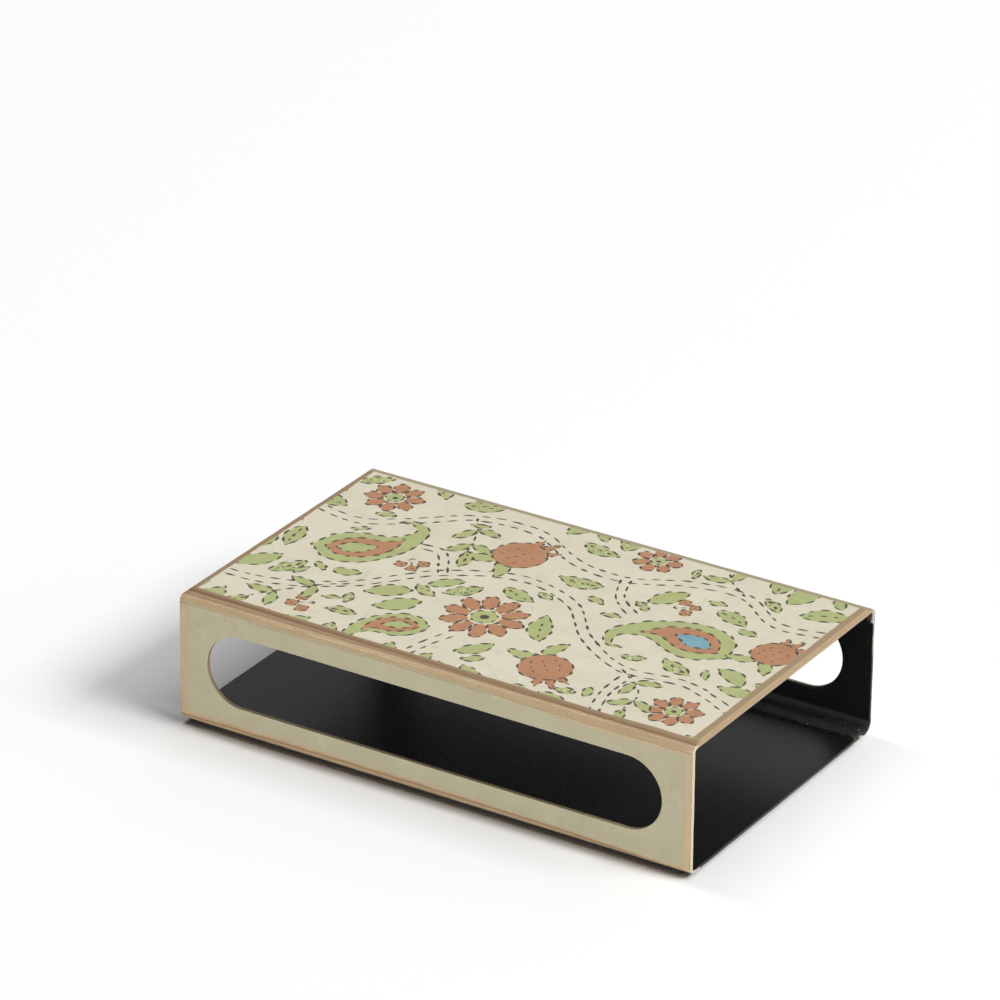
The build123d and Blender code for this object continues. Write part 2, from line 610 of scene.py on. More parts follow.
def right_end(colour, u, s, depth, ragged, is_black):
    """The cut edge at the right: cream along the front wall, a scrap of it under the foot, and
    a chip at the rear corner that bares the steel. The cream on the end of the roof's front bend is
    a painted highlight."""
    at_end = u.ramp(half_length - 0.24, half_length - 0.16)
    on_wall = s.band((base_end + roof_front) / 2, (roof_front - base_end) / 2 + 0.5, 0.4)
    on_scrap = s.band(base_end - 0.4, 1.5, 0.3) * depth.ramp(0.5, 0.4)
    on_roof = s.band((roof_front + roof_rear) / 2, strip_runs[ROOF][0] / 2, 0.4)
    on_rim = s.ramp(base_end, base_end - 0.5) * depth.ramp(0.16, 0.08)
    # cream cut edge and scrap, and a painted highlight where it runs round the roof's front bend
    cream_edge_and_highlight = at_end * depth.ramp(0.62, 0.54) * (on_wall | on_scrap)
    colour = colour.lay(pale_edge_and_highlight, cream_edge_and_highlight, 0.85)
    colour = colour.lay(tan_deep, at_end * on_roof, 0.65).lay(dust_grey, at_end * on_rim, 0.5)
    outward, downward = ragged * 1.2 + u, ragged * 1.6 + s
    stain = outward.ramp(half_length - 1.35, half_length - 1.05)
    chip = outward.ramp(half_length - 0.5, half_length - 0.35) * is_black
    colour = colour.lay(paint(92, 74, 48), downward.band(rear_head + 0.6, 1.0, 0.4) * stain, 0.85)
    return colour.lay(bare_steel_and_glint, downward.band(rear_head + 0.3, 1.6, 0.3) * chip)


def paint_steel():
    """Both sides in one finish; `is_black` says where the black ends on a cut edge, and blacks the
    base's underside, partly as painted shade under the holder.
    """
    finish = Finish("painted steel, tan outside and black inside", specular=0.5)
    blank = finish.step("Attribute", outs=["Vector"], attribute_name="blank")
    reach = finish.step("Attribute", outs=["Fac"], attribute_name="brush_reach")
    u, s, rise = blank.parts()
    depth = sheet / 2 - rise
    outside, streaks = tan_side(finish, u, s)
    on_lap = s.ramp(rear_foot - 0.4, rear_foot + 0.5)
    crust = on_lap * finish.patches(0.3, 14, detail=3, rough=0.8).ramp(0.5, 0.62)
    inside = black_side(finish, on_lap, crust, u)
    ragged = finish.waver(1.6, 11, rough=0.7)
    is_black = (depth - ragged * 0.9 - reach).ramp(-0.02, 0.03)
    is_black |= depth.ramp(sheet - 0.03, sheet - 0.01)
    # black on the base's underside and the lowest part of the front foot: a guess at its finish,
    # and painted shade that deepens the gap under the holder
    is_black |= s.ramp(base_end + 0.25 * foot_bend, base_end + 0.15 * foot_bend)
    colour = right_end(outside.lay(inside, is_black), u, s, depth, ragged, is_black)
    grit = finish.patches(0.35, 8, detail=3, rough=0.7)
    roughness = grit * 0.2 + 0.19 + on_lap * 0.35
    return finish.done(colour, roughness, streaks * 0.4 + crust * 2.5 + grit, depth=0.008)


# how far the tan was brushed over the cut edge of each run of the strip
brush_reach = [0.12, 0.4, 0.8, 0.9, 0.66, 0.5, 0.36, 0.2] + [0.05] * 5
front_window_reach = 0.85
rear_window_reach = 0.25


def mark_brush_reach(mesh):
    """Stores on each point of the steel how deep the tan goes on its cut edge."""
    spots = [0.0] * (3 * len(mesh.vertices))
    mesh.attributes["blank"].data.foreach_get("vector", spots)
    reach = mesh.attributes.new("brush_reach", "FLOAT", "POINT")
    for i in range(len(mesh.vertices)):
        u, s = spots[3 * i], spots[3 * i + 1]
        run = sum(s > line for line in fold_lines[1:-1])
        drop = 0.25 * wander(s, 9, 12 if u > 0 else 13)
        is_window = abs(u) < half_length - 1 and 0.5 < s < strip_end - 0.5
        window_reach = front_window_reach if s < strip_end / 2 else rear_window_reach
        reach.data[i].value = window_reach if is_window else max(brush_reach[run] + drop, 0.05)


mark_brush_reach(sleeve.data)
dress(sleeve, "sleeve", "painted_steel", paint_steel())

# %% [markdown]
# ## The soldered seam
# The foot of the rear wall laps over the base, and solder holds it: a thin film under the
# lap, and along its edge a lumpy thread, painted over, with crumbs of grit beside it. The
# whole is one strip whose cross-section swells and shrinks along the seam, down to the bare
# film at both ends. The crumbs are small rough stones from a seeded random draw, joined to
# the bead, because one piece of solder is one piece.

# %% Run the solder
film_half = half_length - 0.08
bead_fade = 1.8
bead_stations = 360
crumb_count = 230
crumb_sizes = (0.05, 0.17)
crumb_thinning = 22
film_top = base_top + lap_rise - sheet


def bead_section(x):
    """The bead's outline at `x`: from the base, over the lump, to the lap."""
    size = bead_leg * (0.62 + 0.3 * wander(x, 1.7, 21) + 0.12 * wander(x, 0.6, 22))
    size = min(max(size, 0.16), bead_leg * 0.98)
    size *= min(max((half_length - abs(x)) / bead_fade, 0.1), 1)
    lift = film_top + size * 0.75
    return [
        (base_rear_edge, base_top), (lap_edge - size, base_top),
        (lap_edge - size * 0.86, base_top + size * 0.42),
        (lap_edge - size * 0.5, base_top + size * 0.8),
        (lap_edge - size * 0.12, lift), (lap_edge + 0.2, film_top), (base_rear_edge, film_top),
    ]


def crumb(vertices, faces, place, size, dice):
    """One rough stone: a squashed eight-sided solid with uneven corners."""
    first = len(vertices)
    for axis in ((1, 0, 0), (0, 1, 0), (-1, 0, 0), (0, -1, 0), (0, 0, 0.7), (0, 0, -0.21)):
        vertices.append(Vector(place) + Vector(axis) * size * dice.uniform(0.6, 1.1))
    for i in range(4):
        a, b = first + i, first + (i + 1) % 4
        faces += [(a, b, first + 4), (b, a, first + 5)]


def run_solder():
    """The bead with its film, and the crumbs joined to it."""
    vertices, faces = [], []
    stations = [-film_half] + steps(-film_half, film_half, bead_stations)
    ring = len(bead_section(0))
    for x in stations:
        vertices += [(x, y, z) for y, z in bead_section(x)]
    for i in range(len(stations) - 1):
        for j in range(ring):
            a, b = i * ring + j, i * ring + (j + 1) % ring
            faces.append((a, a + ring, b + ring, b))
    faces.append(tuple(range(ring)))
    faces.append(tuple(reversed(range(len(vertices) - ring, len(vertices)))))
    dice = random.Random(31)
    for _ in range(crumb_count):
        x = half_length - 2 - min(dice.expovariate(1 / crumb_thinning), 2 * half_length - 4)
        beside = dice.gauss(0, 0.6)
        ground = base_top + lap_rise if beside > 0.15 else base_top
        y = min(lap_edge + beside, base_rear_edge - 0.2)
        crumb(vertices, faces, (x, y, ground), dice.uniform(*crumb_sizes), dice)
    mesh = bpy.data.meshes.new("solder_bead")
    mesh.from_pydata([Vector(v) * MM for v in vertices], [], faces)
    return finish_mesh(mesh)


def paint_solder():
    """Black paint on rough lumps, with pale painted glints in spots."""
    finish = Finish("solder under black paint", specular=0.6)
    lumps = finish.patches(0.5, 33, detail=4, rough=0.7)
    # painted glints: pale specks on the black solder
    glints = finish.specks(0.7, 0.16, 0.3, 34)
    colour = finish.coat(paint(18, 17, 18)).lay(paint(120, 116, 108), glints, 0.7)
    return finish.done(colour, lumps * 0.3 + 0.18, lumps, depth=0.05)


solder = run_solder()
dress(solder, "seam_solder", "solder", paint_solder())

# %% [markdown]
# ## Handmade paper
# The plain papers are made from long plant fibres: pale and dark hairs, soft clouds where
# the pulp lay thicker, a stray speck. The hairs are level lines of a soft noise: where it
# passes one half there is a thin curved line, and a second noise breaks it into lengths.

# %% Paper finish
sage_light = paint(189, 181, 153)
sage_dark = paint(163, 156, 126)
hair_width = 0.012


def fibres(finish, length, seed, share):
    """Thin curled hairs of about this length, on a share of the sheet."""
    contour = finish.patches(length, seed, detail=1.5, bend=1.2)
    here = finish.patches(length * 0.8, seed + 40).ramp(1 - share, 1.06 - share)
    return contour.band(0.5, hair_width, hair_width) * here


def pulp(finish, ground, light, dark, seed):
    """The sheet's own colour and relief: clouds, hairs and specks on a ground colour."""
    clouds = finish.patches(7, seed, detail=5, rough=0.62)
    pale = fibres(finish, 5, seed + 1, 0.5) | fibres(finish, 3, seed + 2, 0.42)
    shade = fibres(finish, 6, seed + 3, 0.46) | fibres(finish, 2.4, seed + 4, 0.36)
    tooth = finish.patches(0.3, seed + 5, detail=2, rough=0.6)
    specks = finish.specks(3.4, 0.14, 0.22, seed + 6)
    colour = finish.coat(ground).lay(dark, clouds.ramp(0.5, 0.78), 0.55)
    colour = colour.lay(light, clouds.ramp(0.5, 0.22), 0.6).lay(light, pale, 0.5)
    colour = colour.lay(dark, shade, 0.55).lay(dark, tooth.ramp(0.55, 0.75), 0.3)
    return colour.lay(paint(118, 108, 84), specks, 0.7), clouds * 0.8 + pale * 0.8 + tooth


def side_paper_finish():
    """Sage paper, with a band of tan brushed over each end of the wall."""
    finish = Finish("sage fibre paper with tan ends", specular=0.4)
    x, z = finish.x, finish.z
    colour, height = pulp(finish, sage, sage_light, sage_dark, seed=50)
    band, streaks = tan_paint(finish, z, x, seed=60)
    band = band.lay(tan_light, x.ramp(-1, 1), 0.45)
    band = band.lay(sage, x.ramp(half_length - 0.85, half_length - 0.55), 0.45)
    waver = finish.waver(5, 62, rough=0.65)
    away = abs(waver * 0.9 + x)
    level = waver * 0.45 + z
    is_band = away.ramp(half_length - 1.75, half_length - 1.5)
    is_band |= (level - paper_top_line(x)).ramp(front_high.z - 0.06, front_high.z + 0.06)
    is_band |= (level - paper_foot_line(x)).ramp(0.1, -0.1)
    # painted highlight: a pale line along the paper's top edge
    painted_ledge_highlight = z.ramp(front_high.z - 0.14, front_high.z - 0.08) * waver.ramp(0.0, 0.12)
    colour = colour.lay(sage_dark, away.band(half_length - 1.75, 0.15, 0.3), 0.5)
    colour = red_brown_foot_line(colour.lay(band, is_band), x, z).lay(pale_edge_and_highlight, painted_ledge_highlight, 0.6)
    return finish.done(colour, streaks * 0.2 + 0.4, height, depth=0.02)


def card_finish():
    """Rough grey card, rubbed paler in places; its dark grey is partly painted shade for the gap
    under the front edge.
    """
    finish = Finish("grey card under the base", specular=0.3)
    # painted shade: the card's dark grey darkens the gap under the front edge
    colour, height = pulp(finish, paint(52, 50, 48), paint(66, 63, 60), paint(40, 38, 36), seed=70)
    rubbed = finish.patches(4, 72, detail=5, rough=0.7).ramp(0.6, 0.68)
    colour = colour.lay(paint(84, 80, 75), rubbed, 0.4)
    return finish.done(colour, rubbed * -0.15 + 0.7, height, depth=0.03)


# %% [markdown]
# ## Pasting the side papers, and the card below
# Each side paper is a grid with a window in it, as the walls were. It stops at the folds,
# and that small ledge catches the light along the top of the front wall, helped by a pale
# painted highlight along its edge. Edges cut by hand waver by a tenth of a millimetre. The
# card under the base is set in from the edges, so the holder seems to float on its own
# shadow; the card's dark grey and the black on the steel's underside are partly painted
# shade that deepens that gap.

# %% Cut and paste the side papers and the card
paper = print_high.z - print_low.z
paper_rounding = 0.05
scissors_slip = 0.1


def hand_cut(columns, rows, grain, seed):
    """Scissors leave edges that waver; `grain` is how long a wave is."""
    def cut(u, v, c, r):
        if r in (0, len(rows) - 1):
            v += math.copysign(scissors_slip, 0.5 - r) * abs(wander(u, grain, seed + r))
        if c in (0, len(columns) - 1):
            u -= math.copysign(scissors_slip * abs(wander(v, 4, seed + c)), u)
        return u, v
    return cut


def wall_drawing(low, high, seed):
    """Points and faces of a wall's paper, from the corners of its box."""
    columns = wall_columns(-low.x, 5)
    below, above = wall_rows(low.z, high.z, window_middle)
    rows = level_rows([low.z]) + below + above
    return draw_grid(columns, rows, hand_cut(columns, rows, 5, seed), [len(below)])


side_finish = side_paper_finish()
side_papers = []
for wall, low, high, out, seed in (
    ("front", front_low, front_high, -1, 80), ("rear", rear_low, rear_high, 1, 90),
):
    middle_y = (low.y + high.y) / 2
    side_papers.append(thicken(
        f"{wall}_side_paper", wall_drawing(low, high, seed),
        lambda u, v, rise: (-out * u, middle_y + out * rise, v), paper, paper_rounding))
    dress(side_papers[-1], f"{wall}_paper", "side_paper", side_finish)

columns_in_card, rows_in_card = 54, 30
across = [-card_high.x] + steps(-card_high.x, card_high.x, columns_in_card)
up = [-card_high.y] + steps(-card_high.y, card_high.y, rows_in_card)
card_drawing = draw_grid(across, level_rows(up), hand_cut(across, up, 4, 100))
card_z = (card_low.z + card_high.z) / 2
card = thicken("card_under_base", card_drawing, lambda u, v, rise: (u, -v, card_z - rise),
               card_high.z - card_low.z, rounding=0.12)
dress(card, "base_card", "base_card", card_finish())

# %% [markdown]
# ## Pens for the printed sheet
# The sheet on the roof is printed in flat inks, in the manner of running-stitch needlework:
# every shape has an outline of short dashes. A picture would be only as sharp as its
# pixels, so the print is drawn as shapes, and a later shape covers an earlier one. `swell`
# is the main pen: its line grows and thins, which makes a leaf, a petal, a band or a single
# stitch. `stitch` walks along a line and sets the dashes.

# %% Pens
CREAM, GREEN, TERRACOTTA, BLUE, CHARCOAL = range(5)
ink_shapes = []
needle = random.Random(7)


def turned(points, at, angle, size):
    """Points drawn about the origin, scaled, turned by degrees and moved."""
    c, s = math.cos(math.radians(angle)) * size, math.sin(math.radians(angle)) * size
    return [(at[0] + c * x - s * y, at[1] + s * x + c * y) for x, y in points]


def smooth(points, step, closed=False):
    """Evenly spaced points on a smooth line through the given ones."""
    count, fineness = len(points), 12
    fine = []
    for i in range(count if closed else count - 1):
        near = [(i + k) % count if closed else min(max(i + k, 0), count - 1) for k in (-1, 0, 1, 2)]
        a, b, c, d = (Vector(points[k]) for k in near)
        for t in [j / fineness for j in range(fineness)]:
            fine.append(0.5 * (2 * b + (c - a) * t + (2 * a - 5 * b + 4 * c - d) * t**2
                               + (3 * b - a - 3 * c + d) * t**3))
    fine.append(Vector(points[0] if closed else points[-1]))
    lengths = [0]
    for a, b in zip(fine, fine[1:]):
        lengths.append(lengths[-1] + (b - a).length)
    pieces = max(2, round(lengths[-1] / step))
    wanted, line, k = [lengths[-1] * i / pieces for i in range(pieces + 1)], [], 0
    for target in wanted[:-1] if closed else wanted:
        while k < len(fine) - 2 and lengths[k + 1] < target:
            k += 1
        share = (target - lengths[k]) / max(lengths[k + 1] - lengths[k], 1e-9)
        line.append(tuple(fine[k].lerp(fine[k + 1], min(share, 1))))
    return line


def sideways(line, i):
    """The unit vector to the left of a line at its point `i`."""
    a, b = Vector(line[max(i - 1, 0)]), Vector(line[min(i + 1, len(line) - 1)])
    along = (b - a).normalized()
    return Vector((-along.y, along.x))


def swell(spine, widths, step=0.7):
    """An outline that follows a spine, its half width read off the list as it goes."""
    line = smooth(spine, step=step)
    left, right = [], []
    for i, spot in enumerate(line):
        position = i / (len(line) - 1) * (len(widths) - 1)
        k = min(int(position), len(widths) - 2)
        half = widths[k] + (widths[k + 1] - widths[k]) * (position - k)
        side = sideways(line, i) * half
        left.append((spot[0] + side.x, spot[1] + side.y))
        right.append((spot[0] - side.x, spot[1] - side.y))
    outline = right + left[::-1]
    return [spot for i, spot in enumerate(outline) if math.dist(spot, outline[i - 1]) > 0.01]


def fill(outline, ink, waver=0.14):
    """Prints a shape. Its edge wavers, and it sits a hair off its outline."""
    off_x, off_y, grain = 0.1, -0.08, 2.2

    def shake(x, y, level):
        return noise.noise(Vector((x / grain, y / grain, level))) * waver * 2

    shaky = [
        (x + shake(x, y, 3.1) + off_x, y + shake(x, y, 9.7) + off_y) for x, y in outline
    ]
    ink_shapes.append((shaky, ink))


def stitch(line, dash, gap=0.95, width=0.25):
    """Sets a row of dashes along a line, none quite like the last."""
    pace = 0.25
    paced = smooth(line, step=pace)
    k = 0
    while True:
        run = max(3, round(dash * needle.uniform(0.7, 1.25) / pace))
        part = paced[k:k + run + 1]
        if len(part) < 4:
            return
        slip = sideways(part, len(part) // 2) * needle.uniform(-0.1, 0.1)
        spine = [(x + slip.x, y + slip.y) for x, y in (part[0], part[len(part) // 2], part[-1])]
        thick = width * needle.uniform(0.8, 1.25)
        dash_shape = swell(spine, [thick * 0.35, thick, thick * 0.95, 0.0], 0.5)
        ink_shapes.append((dash_shape, CHARCOAL))
        k += run + max(2, round(gap * needle.uniform(0.8, 1.3) / pace))


def ring(at, radius, ink, dash=None):
    """A filled circle drawn by hand, with or without stitches round it."""
    uneven = 0.05
    around = [
        (at[0] + radius * (1 + uneven * wander(a, 1, at[0])) * math.cos(a),
         at[1] + radius * (1 + uneven * wander(a, 1, at[1])) * math.sin(a))
        for a in steps(0, 2 * math.pi, 14)
    ]
    fill(smooth(around, 0.6, closed=True), ink, 0.08)
    if dash:
        stitch(around + around[:1], dash)


def flecks(spine, widths, count):
    """Pale and dark nicks inside a leaf, as a worn block prints them."""
    line = smooth(spine, step=0.4)
    for _ in range(count):
        share = needle.uniform(0.22, 0.72)
        k = int(share * (len(line) - 1))
        half = widths[min(int(share * len(widths)), len(widths) - 1)]
        side = sideways(line, k) * half * needle.uniform(-0.6, 0.6)
        x, y = line[k][0] + side.x, line[k][1] + side.y
        reach, lean = needle.uniform(0.12, 0.34), needle.uniform(0, 360)
        nick = [(-1.3, 0), (-0.2, -0.6), (1.2, -0.1), (0.3, 0.7)]
        ink_shapes.append((turned(nick, (x, y), lean, reach), needle.choice((CREAM, CHARCOAL))))


# %% [markdown]
# ## Motifs
# The design is a generic one: vines of double stitches that carry curled drops, wheel-shaped
# flowers, round fruits, berries and plain leaves. Each motif is a short function, so the
# layout reads like a list of what was embroidered. It also notes how much room it takes,
# so that loose leaves can be scattered later without a clash.

# %% Motifs
taken = []


def room(at, radius):
    """Notes that this much of the sheet is in use."""
    taken.append((at, radius))


def hem(outline, dash=2.0):
    """Stitches along both sides of a shape, from tip to tip."""
    half = len(outline) // 2
    stitch(outline[:half + 1], dash)
    stitch(outline[half:] + outline[:1], dash)


def patch(spine, widths, ink, dash, gap=0.95, waver=0.14, step=0.7):
    """A filled shape with stitches all the way round."""
    outline = swell(spine, widths, step)
    fill(outline, ink, waver)
    stitch(outline + outline[:1], dash, gap)


def leaf(at, angle, length, width=None, bow=0.08, vein=False, worn=False):
    """A pointed leaf with a stitched outline."""
    width = width or length * 0.2
    spine = turned([(0, 0), (0.5, bow), (1, 0)], at, angle, length)
    widths = [0, 0.72 * width, width, 0.95 * width, 0.6 * width, 0]
    outline = swell(spine, widths)
    fill(outline, GREEN)
    if worn:
        flecks(spine, widths, round(length * 2.2))
    if vein:
        stitch(turned([(0.16, bow * 0.5), (0.5, bow), (0.8, bow * 0.5)], at, angle, length), 1.3)
    hem(outline, 1.9)
    middle_line = smooth(spine, step=length / 10)
    for k in (2, 5, 8):
        room(middle_line[k], width * 1.1)


def vine(points, gap=1.05):
    """A stem: two rows of stitches side by side."""
    line = smooth(points, step=1.2)
    for hand in (gap, -gap):
        row = []
        for i, (x, y) in enumerate(line):
            side = sideways(line, i) * hand
            row.append((x + side.x, y + side.y))
        stitch(row, 2.2, 1.0)
    for spot in line:
        room(spot, 1.7)


def curled_drop(at, angle, size, core=GREEN):
    """A drop with a curled tip: a green body, a terracotta band and a small core."""
    def spine(*points):
        return turned(points, at, angle, size)

    def widths(*shares):
        return [share * size for share in shares]

    outline = swell(
        spine((-0.42, 0.0), (0.0, 0.02), (0.34, 0.16), (0.5, 0.44), (0.36, 0.62), (0.22, 0.56)),
        widths(0.0, 0.22, 0.29, 0.3, 0.27, 0.21, 0.15, 0.1, 0.065, 0.045, 0.02, 0))
    fill(outline, GREEN)
    hem(outline)
    patch(spine((-0.3, 0.0), (0.0, 0.02), (0.24, 0.1), (0.38, 0.28)),
          widths(0.0, 0.14, 0.185, 0.19, 0.16, 0.1, 0.04, 0), TERRACOTTA, 1.8)
    patch(spine((-0.2, 0.0), (0.0, 0.02), (0.18, 0.07)),
          widths(0.0, 0.075, 0.1, 0.09, 0.05, 0), core, 1.3)
    for spot, reach in (((-0.15, 0), 0.32), ((0.15, 0.05), 0.34), ((0.42, 0.42), 0.22)):
        room(spine(spot)[0], reach * size)


def wheel_flower(at, radius, petals, angle=0.0):
    """A round flower whose petals stand like spokes."""
    width = math.pi * radius / petals * 0.62
    for i in range(petals):
        spine = turned([(0.3, 0), (0.65, 0.03), (1.0, 0)], at, angle + 360 * i / petals, radius)
        widths = [w * width for w in (0.3, 0.62, 0.9, 1.0, 0.75, 0)]
        patch(spine, widths, TERRACOTTA, 1.5, 0.8, waver=0.1, step=0.6)
    ring(at, radius * 0.36, CREAM)
    ring(at, radius * 0.3, GREEN, dash=1.2)
    ring(at, radius * 0.1, CHARCOAL)
    room(at, radius * 1.06)


def round_fruit(at, angle, radius):
    """A ripe fruit with a crown of three points and a pair of leaves at its stalk."""
    for lean in (128, -128):
        foot = turned([(-0.75, 0)], at, angle, radius)[0]
        leaf(foot, angle + lean, radius * 1.5, radius * 0.3, bow=0.1)
    for lean, reach in ((-24, 1.55), (0, 1.75), (24, 1.55)):
        crown = turned([(0.75, 0), (1.2, 0), (reach, 0)], at, angle + lean, radius)
        widths = [w * radius for w in (0.2, 0.2, 0.12, 0)]
        patch(crown, widths, TERRACOTTA, 1.2, 0.8, waver=0.08, step=0.5)
    ring(at, radius, TERRACOTTA, dash=1.9)
    for row in (-0.42, 0.0, 0.42):
        arc = [(-0.55, row), (0.0, row * 1.25), (0.5, row)]
        stitch(turned(arc, at, angle, radius), 0.9, 0.9, 0.16)
    room(at, radius * 1.5)


def berries(at, angle, radius):
    """Three berries on short stalks."""
    for lean, reach in ((-42, 2.6), (0, 3.4), (42, 2.6)):
        spot = turned([(reach, 0)], at, angle + lean, radius)[0]
        stitch([at, spot], 1.2, 0.7, 0.16)
        ring(spot, radius, TERRACOTTA, dash=1.1)
        ring(spot, radius * 0.25, CHARCOAL)
        room(spot, radius * 1.3)


def sprig(points, pairs, length):
    """A stalk with pairs of small leaves."""
    line = smooth(points, step=0.8)
    stitch(line, 1.8)
    for i in range(pairs):
        k = round((i + 0.8) / (pairs + 0.4) * (len(line) - 1))
        along = Vector(line[min(k + 1, len(line) - 1)]) - Vector(line[k - 1])
        lean = math.degrees(math.atan2(along.y, along.x))
        for hand in (52, -52):
            leaf(line[k], lean + hand, length, bow=0.06)
    lean = math.degrees(math.atan2(line[-1][1] - line[-3][1], line[-1][0] - line[-3][0]))
    leaf(line[-1], lean, length * 1.1, vein=True)


# %% [markdown]
# ## The layout
# Two long vines cross the sheet and the motifs hang from them. Then loose leaves fill the
# ground, as a needleworker does it, large ones first: a seeded draw proposes a place and an
# angle, and the leaf is set only where nothing is in its way.

# %% Draw the print
vine([(-56, -20), (-44, -19), (-31, -12), (-19, 1), (-5, 7), (8, 3), (17, -7), (29, -14),
      (42, -13), (56, -19)])
vine([(-56, 13), (-45, 11), (-36, 16), (-26, 24), (-13, 25), (0, 18), (11, 17), (22, 22),
      (33, 23), (44, 16), (56, 18)])
vine([(-8, -32), (-6, -24), (-4, -18)], 0.95)
vine([(33, -31), (31, -23), (31, -15)], 0.95)
vine([(11, 17), (14, 10), (20, 5)], 0.9)
vine([(-19, 1), (-24, 8), (-30, 8)], 0.9)

curled_drop((-38, 1), 20, 21)
curled_drop((34, 3), 158, 22, core=BLUE)
curled_drop((-15, -21), 196, 15)
wheel_flower((-3, -10), 8.6, 10)
wheel_flower((-44, 23), 6.2, 8, 12)
wheel_flower((45, -23), 5.6, 8, 20)
wheel_flower((12, 27), 5.0, 7, 5)
round_fruit((-11, 15), 60, 5.2)
round_fruit((17, -21), -50, 5.0)
round_fruit((49, 6), 70, 4.4)
berries((-27, 3), -60, 1.2)
berries((24, 12), 30, 1.2)
berries((-32, -22), -150, 1.3)
sprig([(-31, -12), (-37, -17), (-44, -26)], 2, 6)
sprig([(29, -14), (36, -20), (37, -27)], 2, 5.5)
sprig([(-26, 24), (-22, 17), (-20, 11)], 2, 6)
sprig([(33, 23), (28, 27), (25, 31)], 1, 6)

scatter = random.Random(19)
leaf_lengths = [9.5] * 1300 + [7.0] * 1300 + [4.6] * 1400
loose = 0
for length in leaf_lengths:
    length *= scatter.uniform(0.85, 1.15)
    spot = (scatter.uniform(-54, 52), scatter.uniform(-30, 29))
    lean = scatter.gauss(20, 45) + scatter.choice((0, 180))
    spine = turned([(0, 0), (0.5, 0), (1, 0)], spot, lean, length)
    clear = all(
        math.dist(point, at) > reach + length * 0.16 for point in spine for at, reach in taken
    )
    if clear:
        leaf(spot, lean, length, length * scatter.uniform(0.19, 0.26), scatter.uniform(-0.1, 0.12),
             vein=length > 6 and scatter.random() < 0.35, worn=scatter.random() < 0.4)
        loose += 1
print(f"print: {len(ink_shapes)} inked shapes, {loose} loose leaves")


# %% [markdown]
# ## Cutting the sheet along the ink
# The shapes overlap on the sheet, and each spot must know its topmost ink. Blender's
# constrained triangulation cuts the sheet along every outline at once and tells for each
# triangle which shapes it came from; the last of them is the ink that shows. So the inks
# are sharp-edged however near the camera comes.

# %% Cut the printed sheet
bare_margin = (0.3, 0.25)
smallest_scrap = 0.01


def trim(outline, reach_x, reach_y):
    """The part of a shape that lies on the sheet."""
    for axis, limit, sign in ((0, reach_x, 1), (0, reach_x, -1), (1, reach_y, 1), (1, reach_y, -1)):
        kept = []
        for i, spot in enumerate(outline):
            before = outline[i - 1]
            a, b = sign * before[axis] - limit, sign * spot[axis] - limit
            if (a < 0) != (b < 0):
                share = a / (a - b)
                kept.append(tuple(p + (q - p) * share for p, q in zip(before, spot)))
            if b < 0:
                kept.append(spot)
        outline = kept
    return outline


def sheet_outline(half_u, half_v, seed):
    """The sheet's own edge, cut by hand."""
    corners = [(-half_u, -half_v), (half_u, -half_v), (half_u, half_v), (-half_u, half_v)]
    spacing, slip = 1.5, 0.12
    outline = []
    for (ax, ay), (bx, by) in zip(corners, corners[1:] + corners[:1]):
        count = round(math.dist((ax, ay), (bx, by)) / spacing)
        for i in range(count):
            x, y = ax + (bx - ax) * i / count, ay + (by - ay) * i / count
            inward = slip * abs(wander(x + 2 * y, 4, seed))
            along_x = ay == by
            outline.append((x - (0 if along_x else math.copysign(inward, x)),
                            y - (math.copysign(inward, y) if along_x else 0)))
    return outline


def area(outline):
    """The area inside an outline, negative if it runs clockwise."""
    return sum(a[0] * b[1] - b[0] * a[1] for a, b in zip(outline, outline[1:] + outline[:1])) / 2


def cut_sheet():
    """The printed sheet's points, its faces and the ink of each face."""
    half_u, half_v = print_high.x, print_high.y
    outlines, inks = [sheet_outline(half_u, half_v, 110)], [CREAM]
    for outline, ink in ink_shapes:
        outline = trim(outline, half_u - bare_margin[0], half_v - bare_margin[1])
        if abs(area(outline)) > smallest_scrap:
            outlines.append(outline if area(outline) > 0 else outline[::-1])
            inks.append(ink)
    spots = [Vector(spot) for outline in outlines for spot in outline]
    given, first = [], 0
    for outline in outlines:
        given.append(list(range(first, first + len(outline))))
        first += len(outline)
    points, _, faces, _, _, sources = delaunay_2d_cdt(spots, [], given, 1, 1e-5)
    print(f"sheet cut into {len(faces)} faces along {len(outlines)} outlines")
    points = [tuple(point) for point in points]
    return points, [list(face) for face in faces], [inks[max(source)] for source in sources]


points, faces, face_inks = cut_sheet()
print_z = (print_low.z + print_high.z) / 2
printed = thicken("printed_sheet", (points, faces), lambda u, v, rise: (u, v, print_z + rise),
                  paper, paper_rounding, face_inks)

# %% [markdown]
# ## Inks, and the tan border over them
# All inks share the sheet below: its fibres and tooth show through, because ink sinks into
# paper. An ink adds pinholes where it missed and a slight change of density. Over everything
# a border of tan was brushed along the four edges and down onto the steel. It is painted by
# place, so it runs straight over paper and ink alike, and its inner edge wavers.

# %% Mix the inks
cream = paint(217, 210, 188)
cream_light = paint(226, 219, 199)
cream_dark = paint(200, 193, 170)
border_right = half_length - 2.1
border_left = half_length - 1.4
border_front = -29.56
border_rear = 30.4
border_lean = 0.0175
border_soft = 0.08


